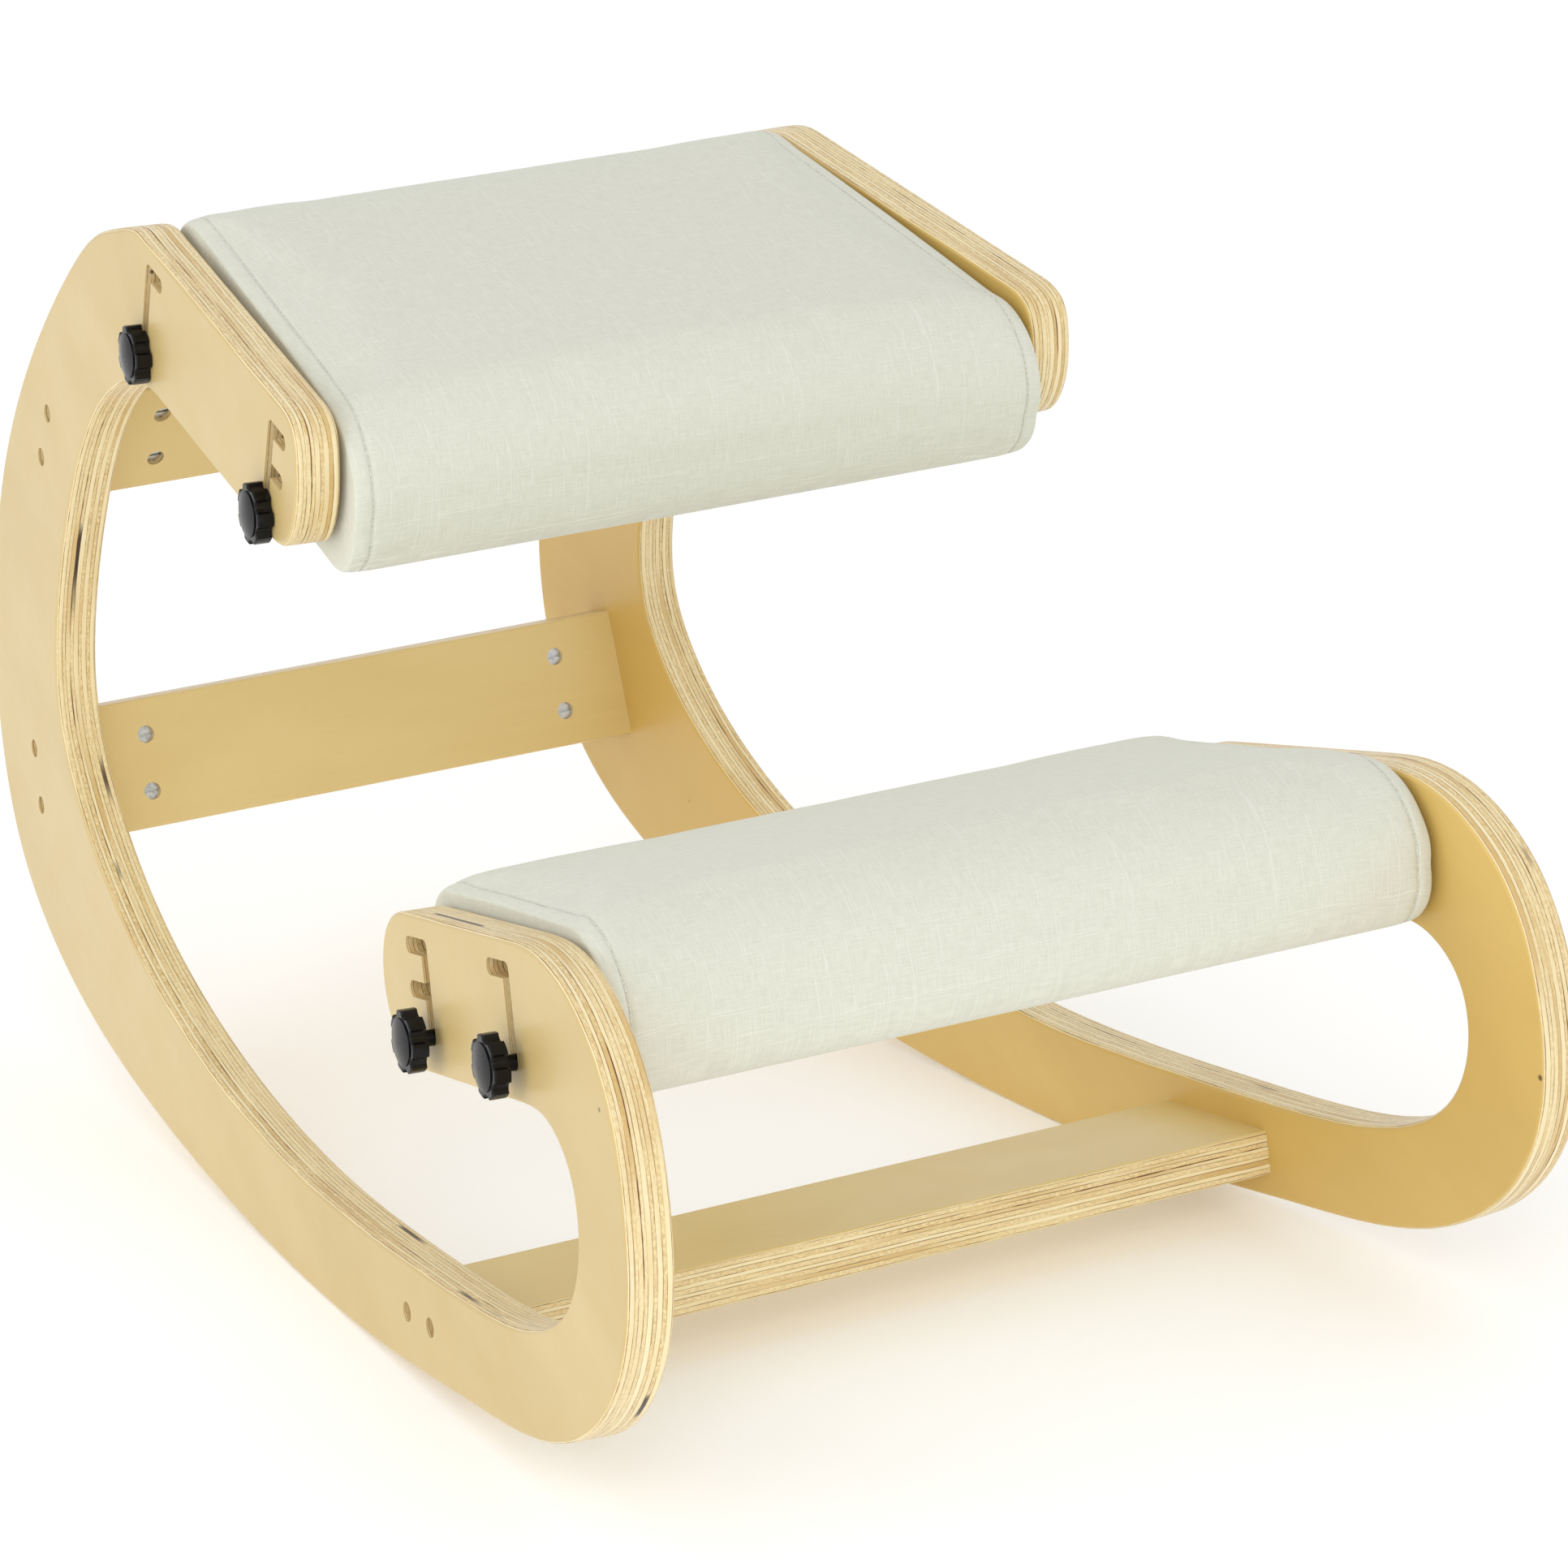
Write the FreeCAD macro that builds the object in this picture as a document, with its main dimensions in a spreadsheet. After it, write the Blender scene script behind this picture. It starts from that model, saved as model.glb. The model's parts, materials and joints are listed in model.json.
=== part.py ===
"""Rocking kneeling chair: two C-shaped plywood sides joined by three crossbars, with a sliding
upholstered seat and knee pad, each clamped by four star knobs. Millimetres, +Z up, front at -Y."""
import FreeCAD, Part
import math
import os
from FreeCAD import Placement, Rotation, Vector

os.makedirs("parts", exist_ok=True)
doc = FreeCAD.newDocument("kneeling_chair")

# Driving dimensions. The chair is drawn upright in a drawing frame: X across, Y to the rear, Z up.
# rest_tilt then leans the drawing back about X to the attitude in which the empty chair balances.
SIZES = [
    ("half_width", 235.0, "centre plane to a side's outer face, at the drawing origin"),
    ("splay_angle", 4.6, "degrees that each side toes in towards the rear"),
    ("rest_tilt", 19.8, "degrees that the balanced chair leans back from the drawing"),
    ("panel_thickness", 24.0, "birch plywood side"),
    ("panel_edge_radius", 2.5, "eased edges of the sides"),
    ("bar_thickness", 24.0, "birch plywood crossbar"),
    ("bar_width", 75.0, "upper and middle crossbar"),
    ("lower_bar_width", 90.0, "lower crossbar"),
    ("bar_edge_radius", 1.5, "eased long edges of the crossbars"),
    ("upper_bar_y", 512.0, "upper crossbar centre"),
    ("upper_bar_z", -62.0, "upper crossbar centre"),
    ("upper_bar_angle", 101.0, "degrees, direction of the upper crossbar's width"),
    ("middle_bar_y", 490.0, "middle crossbar centre"),
    ("middle_bar_z", -280.0, "middle crossbar centre"),
    ("middle_bar_angle", 58.0, "degrees, direction of the middle crossbar's width"),
    ("lower_bar_y", -124.0, "lower crossbar centre"),
    ("lower_bar_z", -194.0, "lower crossbar centre"),
    ("lower_bar_angle", 155.5, "degrees, direction of the lower crossbar's width"),
    ("bolt_spacing", 33.0, "between the two bolts at a bar's end"),
    ("bolt_diameter", 6.0, "connector bolt"),
    ("bolt_head_diameter", 10.0, "connector bolt head"),
    ("bolt_head_height", 5.0, "connector bolt head"),
    ("bolt_recess_depth", 11.0, "counterbore in the side"),
    ("bolt_socket_width", 5.0, "hexagon socket across flats"),
    ("bolt_socket_depth", 3.0, "hexagon socket"),
    ("bolt_past_nut", 4.0, "bolt length beyond the barrel nut"),
    ("fastener_clearance", 0.25, "radial clearance of bolts and heads in wood"),
    ("thread_clearance", 0.05, "radial clearance where a thread is drawn plain"),
    ("nut_setback", 39.0, "barrel nut axis from the bar's end"),
    ("nut_diameter", 10.0, "barrel nut"),
    ("nut_length", 18.0, "barrel nut"),
    ("nut_slot_width", 1.6, "screwdriver slot in the barrel nut"),
    ("nut_slot_depth", 1.5, "screwdriver slot in the barrel nut"),
    ("nut_sink", 3.0, "barrel nut below the bar's face"),
    ("slot_width", 8.6, "adjustment slots in the sides"),
    ("seat_travel", 50.0, "seat slots, bottom to top stop"),
    ("seat_middle_notch", 27.0, "height of the front slot's middle notch"),
    ("seat_notch_reach", 17.0, "seat notch, slot axis to end axis"),
    ("seat_rear_u", 367.0, "rear seat knob along the side"),
    ("seat_rear_v", 81.0, "rear seat knob height at rest"),
    ("seat_front_u", 175.0, "front seat knob along the side"),
    ("seat_front_v", 101.0, "front seat knob height at rest"),
    ("knee_travel", 44.0, "knee slots, bottom to top stop"),
    ("knee_middle_notch", 22.0, "height of the rear slot's middle notch"),
    ("knee_notch_reach", 21.0, "knee notch, slot axis to end axis"),
    ("knee_slot_angle", 30.0, "degrees that the knee slots lean to the rear"),
    ("knee_rear_u", -102.0, "rear knee knob along the side"),
    ("knee_rear_v", -30.0, "rear knee knob height at rest"),
    ("knee_front_u", -200.0, "front knee knob along the side"),
    ("knee_front_v", 27.0, "front knee knob height at rest"),
    ("pad_gap", 3.0, "running gap between a pad's end and the side"),
    ("board_thickness", 30.0, "plywood core board of a pad"),
    ("board_below_axis", 19.0, "board underside below the knob axes"),
    ("cover_wrap", 5.0, "padding over the board's front, rear and ends"),
    ("pad_underside", 3.0, "cover under the board"),
    ("pad_rise", 66.5, "top of a pad's front above the knob axes, near its ends"),
    ("pad_crown", 7.0, "extra height in the middle of a pad's front"),
    ("pad_top_bow", 1.0, "rise of a pad's top between its front and rear curves"),
    ("pad_shoulder_depth", 5.0, "rounding of a pad's ends, inwards on the section"),
    ("pad_shoulder_width", 14.0, "rounding of a pad's ends, along the pad"),
    ("nose_back", 46.0, "start of the front curve behind the nose"),
    ("nose_drop", 40.0, "upper end of the flat nose below the top"),
    ("nose_cut", 15.5, "middle of the front curve behind the nose"),
    ("nose_cut_drop", 11.5, "middle of the front curve below the top"),
    ("nose_lean", 3.0, "lower end of the flat nose behind its upper end"),
    ("nose_bulge", 0.5, "hollow of the flat nose at its middle"),
    ("nose_lower_radius", 28.0, "lower front edge of a pad"),
    ("pad_rear_radius", 32.0, "upper rear edge of a pad"),
    ("pad_rear_lower_radius", 10.0, "lower rear edge of a pad"),
    ("seat_nose", 67.0, "seat front ahead of the front knob axis"),
    ("seat_tail", 39.0, "seat rear behind the rear knob axis"),
    ("seat_top_rise", 6.0, "seat top higher at the rear than at the front's ends"),
    ("knee_nose", 69.0, "knee pad front ahead of the front knob axis"),
    ("knee_tail", 70.0, "knee pad rear behind the rear knob axis"),
    ("knee_top_rise", 3.0, "knee pad top higher at the rear than at the front's ends"),
    ("insert_diameter", 12.0, "threaded insert in a board's end"),
    ("insert_length", 22.0, "threaded insert"),
    ("insert_sink", 0.5, "threaded insert below the board's end"),
    ("stud_diameter", 6.0, "knob stud"),
    ("stud_length", 48.0, "knob stud beyond the hub"),
    ("stud_chamfer", 1.0, "point of the knob stud"),
    ("hub_diameter", 8.2, "knob hub"),
    ("hub_length", 9.0, "knob hub"),
    ("hub_entry", 1.2, "hub clear of the side's face at a knee knob"),
    ("seat_knob_gap", 0.6, "seat knob head to the side's face"),
    ("knob_diameter", 32.0, "star knob head"),
    ("knob_height", 8.5, "star knob head"),
    ("knob_lobes", 7.0, "lobes of the star knob"),
    ("knob_notch_diameter", 8.0, "hollows between the lobes"),
    ("knob_notch_bite", 2.6, "depth of the hollows"),
    ("knob_dome_diameter", 24.0, "domed middle of the knob's face"),
    ("knob_dome_edge", 0.7, "step round the dome"),
    ("knob_dome_height", 2.2, "domed middle of the knob's face"),
    ("knob_edge_radius", 1.0, "rounded rims of the knob's head"),
]

# Outline of a side, as (u, v): u to the rear along the side, v up
BACK_CURVE = [
    (386, 143), (421, 127), (451, 107), (493, 61), (547, -23), (583, -110), (593, -195), (576, -277),
    (526, -341), (431, -369), (314, -362), (203, -339), (27, -286), (-87, -240), (-193, -189), (-303, -124),
    (-343, -72), (-354, -16), (-335, 42), (-298, 84), (-247, 101), (-205, 95), (-172, 79),
]
KNEE_TIP = [(-54, 11), (-33, -7), (-29, -30), (-42, -54), (-66, -64), (-95, -56)]
INNER_CURVE = [
    (-208, 9), (-244, 23), (-275, 14), (-291, -12), (-289, -50), (-256, -92), (-200, -127), (-118, -165),
    (39, -229), (137, -257), (242, -274), (345, -273), (427, -248), (468, -212), (480, -160), (473, -90),
    (450, -18), (415, 30), (380, 56), (340, 69),
]
SEAT_TIP = [(164, 92), (143, 101), (134, 122), (137, 150), (147, 167), (166, 170)]

sheet = doc.addObject("Spreadsheet::Sheet", "Sizes")
for row, (alias, value, note) in enumerate(SIZES, start=1):
    sheet.set("A%d" % row, note)
    sheet.set("B%d" % row, repr(value))
    sheet.setAlias("B%d" % row, alias)
doc.recompute()


def size(alias):
    return float(sheet.get(alias))


def plane_of(body, role):
    return next(f for f in body.Origin.OriginFeatures if f.Role == role)


def new_body(label):
    body = doc.addObject("PartDesign::Body", label)
    body.Label = label
    return body


def new_sketch(body, name, role="XY_Plane", offset=0.0):
    sketch = body.newObject("Sketcher::SketchObject", name)
    sketch.AttachmentSupport = [(plane_of(body, role), "")]
    sketch.MapMode = "FlatFace"
    sketch.AttachmentOffset = Placement(Vector(0, 0, offset), Rotation())
    return sketch


def line(a, b):
    return Part.LineSegment(Vector(*a, 0), Vector(*b, 0))


def spline(points, start, end):
    """smooth curve through points, leaving along start and arriving along end"""
    through = [Vector(*p, 0) for p in points]
    lengths = [0.0]
    for here, there in zip(through, through[1:]):
        lengths.append(lengths[-1] + here.distanceToPoint(there))
    curve = Part.BSplineCurve()
    curve.interpolate(Points=through, Parameters=lengths, Scale=False,
                      InitialTangent=Vector(*start, 0).normalize(), FinalTangent=Vector(*end, 0).normalize())
    return curve


def toward(a, b):
    return (b[0] - a[0], b[1] - a[1])


def add_circle(sketch, centre, radius):
    sketch.addGeometry(Part.Circle(Vector(*centre, 0), Vector(0, 0, 1), radius), False)


def add_obround(sketch, a, b, width):
    """slot of the given width whose end centres are a and b"""
    first, last = Vector(*a, 0), Vector(*b, 0)
    along = (last - first).normalize()
    side = Vector(-along.y, along.x, 0) * (width / 2)
    reach = along * (width / 2)
    sketch.addGeometry(Part.LineSegment(first + side, last + side), False)
    sketch.addGeometry(Part.Arc(last + side, last + reach, last - side), False)
    sketch.addGeometry(Part.LineSegment(last - side, first - side), False)
    sketch.addGeometry(Part.Arc(first - side, first - reach, first + side), False)


def through_cut(body, sketch, name):
    pocket = body.newObject("PartDesign::Pocket", name)
    pocket.Profile = sketch
    pocket.Type = 1
    pocket.Midplane = True
    sketch.Visibility = False
    return pocket


# Frames: the drawing frame, and a side's own frame with u, v in its outer face and w towards the other side
splay = math.radians(size("splay_angle"))
splay_slope = math.tan(splay)
lean = Rotation(Vector(1, 0, 0), size("rest_tilt"))


def side_frame(side):
    """side is -1 for left and 1 for right; local x = u, local y = v, local z points to +X"""
    u_axis = Vector(-side * math.sin(splay), math.cos(splay), 0)
    v_axis = Vector(0, 0, 1)
    w_axis = u_axis.cross(v_axis)
    rotation = Rotation(u_axis, v_axis, w_axis, "XYZ")
    return Placement(Vector(side * size("half_width"), 0, 0), rotation)


def on_side(side, u, v, w):
    """drawing-frame point of a side: w is the depth from the outer face towards the other side"""
    return side_frame(side).multVec(Vector(u, v, -side * w))


def inner_half_width(y):
    """centre plane to a side's inner face at a drawing-frame y"""
    return size("half_width") - splay_slope * y - size("panel_thickness") / math.cos(splay)


def inward(side):
    """unit vector along a side's normal, from its outer face inwards"""
    return side_frame(side).Rotation.multVec(Vector(0, 0, -side))


def side_uv(side, point):
    """u and v of a drawing-frame point, seen along the side's normal"""
    local = side_frame(side).inverse().multVec(point)
    return local.x, local.y


# Fastener places, worked out from the crossbars
BARS = {
    "upper": (size("upper_bar_y"), size("upper_bar_z"), size("upper_bar_angle"), size("bar_width")),
    "middle": (size("middle_bar_y"), size("middle_bar_z"), size("middle_bar_angle"), size("bar_width")),
    "lower": (size("lower_bar_y"), size("lower_bar_z"), size("lower_bar_angle"), size("lower_bar_width")),
}


def bar_frame(bar):
    """local x across the chair, local y along the bar's width, local z through its thickness"""
    y, z, angle, width = BARS[bar]
    return Placement(Vector(0, y, z), Rotation(Vector(1, 0, 0), angle))


def nut_centre(bar, side, index):
    """barrel nut axis crossing its bolt, in the drawing frame"""
    frame = bar_frame(bar)
    centre = frame.multVec(Vector(0, (index - 0.5) * size("bolt_spacing"), 0))
    centre.x = side * (inner_half_width(centre.y) - size("nut_setback"))
    return centre


BOLT_PLACES = [(side, index) for side in (-1, 1) for index in (0, 1)]


def bolt_uv(bar, side, index):
    return side_uv(side, nut_centre(bar, side, index))


# Adjustment slots, in a side's u and v
knee_lean = math.radians(size("knee_slot_angle"))
SEAT_UP = (0.0, 1.0)
KNEE_UP = (math.sin(knee_lean), math.cos(knee_lean))
SEAT_SLOPE = math.atan2(size("seat_rear_v") - size("seat_front_v"),
                        size("seat_rear_u") - size("seat_front_u"))
KNEE_SLOPE = math.atan2(size("knee_rear_v") - size("knee_front_v"),
                        size("knee_rear_u") - size("knee_front_u"))
KNOBS = {
    "seat_rear": (size("seat_rear_u"), size("seat_rear_v")),
    "seat_front": (size("seat_front_u"), size("seat_front_v")),
    "knee_rear": (size("knee_rear_u"), size("knee_rear_v")),
    "knee_front": (size("knee_front_u"), size("knee_front_v")),
}
NOTCH_STEPS = {
    "seat_rear": (size("seat_travel"),),
    "seat_front": (size("seat_middle_notch"), size("seat_travel")),
    "knee_rear": (size("knee_middle_notch"), size("knee_travel")),
    "knee_front": (size("knee_travel"),),
}


def slot_line(knob):
    """bottom and top centre of a slot"""
    u, v = KNOBS[knob]
    up, travel = (SEAT_UP, size("seat_travel")) if knob.startswith("seat") else (KNEE_UP, size("knee_travel"))
    return (u, v), (u + up[0] * travel, v + up[1] * travel)


def notch_lines(knob):
    """slot-side and blind-end centres of each notch: forwards on the seat, rearwards on the knee pad"""
    u, v = KNOBS[knob]
    if knob.startswith("seat"):
        up, reach, slope, way = SEAT_UP, size("seat_notch_reach"), SEAT_SLOPE, -1
    else:
        up, reach, slope, way = KNEE_UP, size("knee_notch_reach"), KNEE_SLOPE, 1
    run = (way * reach * math.cos(slope), way * reach * math.sin(slope))
    starts = [(u + up[0] * step, v + up[1] * step) for step in NOTCH_STEPS[knob]]
    return [(start, (start[0] + run[0], start[1] + run[1])) for start in starts]


# Every sub-part, with its drawing-frame placement; the lean is added at the end
pieces = []


def keep(label, piece, frame=Placement()):
    piece.Label = label
    pieces.append((label, piece, frame))


# Side panels
def make_side(label, side):
    body = new_body(label)
    outline = new_sketch(body, label + "_outline")
    seat_top = (SEAT_TIP[-1], BACK_CURVE[0])
    knee_top = (BACK_CURVE[-1], KNEE_TIP[0])
    knee_under = (KNEE_TIP[-1], INNER_CURVE[0])
    seat_under = (INNER_CURVE[-1], SEAT_TIP[0])
    back = spline(BACK_CURVE, toward(*seat_top), toward(*knee_top))
    tip = spline(KNEE_TIP, toward(*knee_top), toward(*knee_under))
    inner = spline(INNER_CURVE, toward(*knee_under), toward(*seat_under))
    nose = spline(SEAT_TIP, toward(*seat_under), toward(*seat_top))
    loop = (line(*seat_top), back, line(*knee_top), tip, line(*knee_under), inner, line(*seat_under), nose)
    for curve in loop:
        outline.addGeometry(curve, False)
    pad = body.newObject("PartDesign::Pad", label + "_plate")
    pad.Profile = outline
    pad.setExpression("Length", "Sizes.panel_thickness")
    pad.Reversed = side > 0
    doc.recompute()
    rim = [edge for edge in range(1, len(pad.Shape.Edges) + 1) if abs(
        pad.Shape.Edges[edge - 1].BoundBox.ZLength) < 0.01]
    eased = body.newObject("PartDesign::Fillet", label + "_eased")
    eased.Base = (pad, ["Edge%d" % edge for edge in rim])
    eased.setExpression("Radius", "Sizes.panel_edge_radius")
    doc.recompute()

    slots = new_sketch(body, label + "_slots")
    notches = new_sketch(body, label + "_notches")
    for knob in KNOBS:
        add_obround(slots, *slot_line(knob), size("slot_width"))
        for start, end in notch_lines(knob):
            add_obround(notches, start, end, size("slot_width"))
    through_cut(body, slots, label + "_slot_cut")
    through_cut(body, notches, label + "_notch_cut")

    holes = new_sketch(body, label + "_bolt_holes")
    recesses = new_sketch(body, label + "_recesses")
    hole_radius = size("bolt_diameter") / 2 + size("fastener_clearance")
    recess_radius = size("bolt_head_diameter") / 2 + size("fastener_clearance")
    for bar in BARS:
        for index in (0, 1):
            centre = bolt_uv(bar, side, index)
            add_circle(holes, centre, hole_radius)
            add_circle(recesses, centre, recess_radius)
    through_cut(body, holes, label + "_hole_cut")
    recess = body.newObject("PartDesign::Pocket", label + "_recess_cut")
    recess.Profile = recesses
    recess.setExpression("Length", "Sizes.bolt_recess_depth")
    recess.Reversed = side < 0
    keep(label, body, side_frame(side))


make_side("left_side_panel", -1)
make_side("right_side_panel", 1)

# The space between the two sides' inner faces, which trims the crossbars' ends
span = 4 * size("half_width")
between = doc.addObject("Part::Wedge", "between_sides")
between.Ymin, between.Ymax = -span, span
between.Xmin, between.Xmax = -inner_half_width(-span), inner_half_width(-span)
between.X2min, between.X2max = -inner_half_width(span), inner_half_width(span)
between.Zmin = between.Z2min = -span
between.Zmax = between.Z2max = span


def rod(start, direction, radius, length):
    return Part.makeCylinder(radius, length, start, direction)


def compound_piece(label, solids):
    piece = doc.addObject("Part::Feature", label)
    piece.Shape = Part.makeCompound(solids) if len(solids) > 1 else solids[0]
    keep(label, piece)


# Crossbars, their connector bolts and barrel nuts
def nut_axis(bar):
    """from the bar's open face into its thickness"""
    return bar_frame(bar).Rotation.multVec(Vector(0, 0, -1))


def bolt_length():
    return size("panel_thickness") - size("bolt_recess_depth") + size("nut_setback") + size("bolt_past_nut")


def make_bolt(bar, side, index):
    u, v = bolt_uv(bar, side, index)
    along = inward(side)
    seat = on_side(side, u, v, size("bolt_recess_depth"))
    head = rod(seat - along * size("bolt_head_height"), along, size("bolt_head_diameter") / 2,
               size("bolt_head_height"))
    shank = rod(seat, along, size("bolt_diameter") / 2, bolt_length())
    corner = size("bolt_socket_width") / math.sqrt(3)
    wire = Part.makePolygon([Vector(corner * math.cos(math.radians(60 * k)),
                                    corner * math.sin(math.radians(60 * k)), 0) for k in range(7)])
    socket = Part.Face(wire).extrude(Vector(0, 0, size("bolt_socket_depth")))
    socket.Placement = Placement(seat - along * size("bolt_head_height"), Rotation(Vector(0, 0, 1), along))
    return head.fuse(shank).removeSplitter().cut(socket)


def make_nut(bar, side, index):
    centre, axis = nut_centre(bar, side, index), nut_axis(bar)
    start = centre - axis * (size("bar_thickness") / 2 - size("nut_sink"))
    nut = rod(start, axis, size("nut_diameter") / 2, size("nut_length"))
    slot = Part.makeBox(size("nut_diameter") + 2, size("nut_slot_width"), size("nut_slot_depth"))
    slot.translate(Vector(-size("nut_diameter") / 2 - 1, -size("nut_slot_width") / 2, 0))
    slot.Placement = Placement(start, Rotation(inward(side), Vector(), axis, "ZXY")).multiply(slot.Placement)
    u, v = bolt_uv(bar, side, index)
    thread = rod(on_side(side, u, v, 0), inward(side), size("bolt_diameter") / 2 + size("thread_clearance"),
                 size("panel_thickness") + size("nut_setback") + size("nut_diameter"))
    return nut.cut(slot).cut(thread)


def make_bar(bar):
    label = bar + "_crossbar"
    y, z, angle, width = BARS[bar]
    blank = doc.addObject("Part::Box", label + "_blank")
    blank.Length = span
    blank.Width = width
    blank.setExpression("Height", "Sizes.bar_thickness")
    blank.Placement = bar_frame(bar).multiply(
        Placement(Vector(-span / 2, -width / 2, -size("bar_thickness") / 2), Rotation()))
    doc.recompute()
    eased = doc.addObject("Part::Fillet", label + "_eased")
    eased.Base = blank
    radius = size("bar_edge_radius")
    eased.Edges = [(number, radius, radius) for number, edge in enumerate(blank.Shape.Edges, start=1)
                   if edge.Length > span / 2]
    trimmed = doc.addObject("Part::Common", label + "_trimmed")
    trimmed.Base, trimmed.Tool = eased, between
    bores = doc.addObject("Part::Feature", label + "_bores")
    tools = []
    for side, index in BOLT_PLACES:
        centre, axis = nut_centre(bar, side, index), nut_axis(bar)
        reach = size("bar_thickness") / 2
        tools.append(rod(centre - axis * reach, axis, size("nut_diameter") / 2 + size("thread_clearance"),
                         size("nut_length") + size("nut_sink")))
        u, v = bolt_uv(bar, side, index)
        bolt_bore = size("bolt_diameter") / 2 + size("fastener_clearance")
        tools.append(rod(on_side(side, u, v, size("bolt_recess_depth")), inward(side), bolt_bore,
                         bolt_length() + size("bolt_past_nut")))
    bores.Shape = Part.makeCompound(tools)
    part = doc.addObject("Part::Cut", label)
    part.Base, part.Tool = trimmed, bores
    keep(label, part)
    compound_piece(bar + "_bar_bolts", [make_bolt(bar, *place) for place in BOLT_PLACES])
    compound_piece(bar + "_barrel_nuts", [make_nut(bar, *place) for place in BOLT_PLACES])


for bar_name in BARS:
    make_bar(bar_name)


# Pads: core board, crowned cushion and threaded inserts
PAD_STATIONS = [1.0, 0.99, 0.97, 0.92, 0.83, 0.68, 0.46, 0.23]
PADS = {
    "seat": ("seat_front", "seat_rear", SEAT_SLOPE, size("seat_nose"), size("seat_tail")),
    "knee": ("knee_front", "knee_rear", KNEE_SLOPE, size("knee_nose"), size("knee_tail")),
}


def pad_frame(pad):
    """origin at the front knob axis; local y to the rear along the pad, local z out of its top"""
    front, rear, slope, nose, tail = PADS[pad]
    u, v = KNOBS[front]
    return Placement(Vector(0, u * math.cos(splay), v), Rotation(Vector(1, 0, 0), math.degrees(slope)))


def pad_length(pad):
    """front to rear knob axis"""
    front, rear = KNOBS[PADS[pad][0]], KNOBS[PADS[pad][1]]
    return math.hypot(rear[0] - front[0], rear[1] - front[1])


def pad_half_width(pad, y, inset):
    """centre plane to a pad's end at a local y"""
    slope = PADS[pad][2]
    drawing_y = pad_frame(pad).Base.y + y * math.cos(slope)
    return inner_half_width(drawing_y) - size("pad_gap") - inset


def pad_section(pad, share):
    """closed outline across the pad; share runs from -1 to 1 between its ends"""
    nose, tail = PADS[pad][3:]
    middle = pad_half_width(pad, pad_length(pad) / 2, 0)
    from_end = (1 - abs(share)) * middle
    inset = 0.0
    if from_end < size("pad_shoulder_width"):
        turn = 1 - from_end / size("pad_shoulder_width")
        inset = size("pad_shoulder_depth") * (1 - math.sqrt(1 - turn * turn))
    crown = size("pad_crown") * (1 - abs(share) ** 3)
    first, last = inset - nose, pad_length(pad) + tail - inset
    low = inset / 2 - size("board_below_axis") - size("pad_underside")
    front_top = size("pad_rise") + crown - inset
    rear_top = size("pad_rise") + size(pad + "_top_rise") - inset
    lean, lower = first + size("nose_lean"), size("nose_lower_radius")
    flat_nose = front_top - size("nose_drop")
    rear_upper, rear_lower = size("pad_rear_radius"), size("pad_rear_lower_radius")
    bow = size("pad_top_bow") + crown / 6
    cut = 1 - math.sqrt(0.5)

    def at(y, z):
        return Vector(share * pad_half_width(pad, y, 0), y, z)

    corners = [
        (at(lean + lower, low), None),
        (at(last - rear_lower, low), at(last - rear_lower * cut, low + rear_lower * cut)),
        (at(last, low + rear_lower), None),
        (at(last, rear_top - rear_upper), at(last - rear_upper * cut, rear_top - rear_upper * cut)),
        (at(last - rear_upper, rear_top), at((first + last) / 2, (front_top + rear_top) / 2 + bow)),
        (at(first + size("nose_back"), front_top),
         at(first + size("nose_cut"), front_top - size("nose_cut_drop"))),
        (at(first, flat_nose), at(first + size("nose_bulge"), (flat_nose + low + lower) / 2)),
        (at(lean, low + lower), at(lean + lower * cut, low + lower * cut)),
    ]
    edges = []
    for number, (start, middle_point) in enumerate(corners):
        end = corners[(number + 1) % len(corners)][0]
        curve = Part.Arc(start, middle_point, end) if middle_point else Part.LineSegment(start, end)
        edges.append(curve.toShape())
    return Part.Wire(edges)


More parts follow.
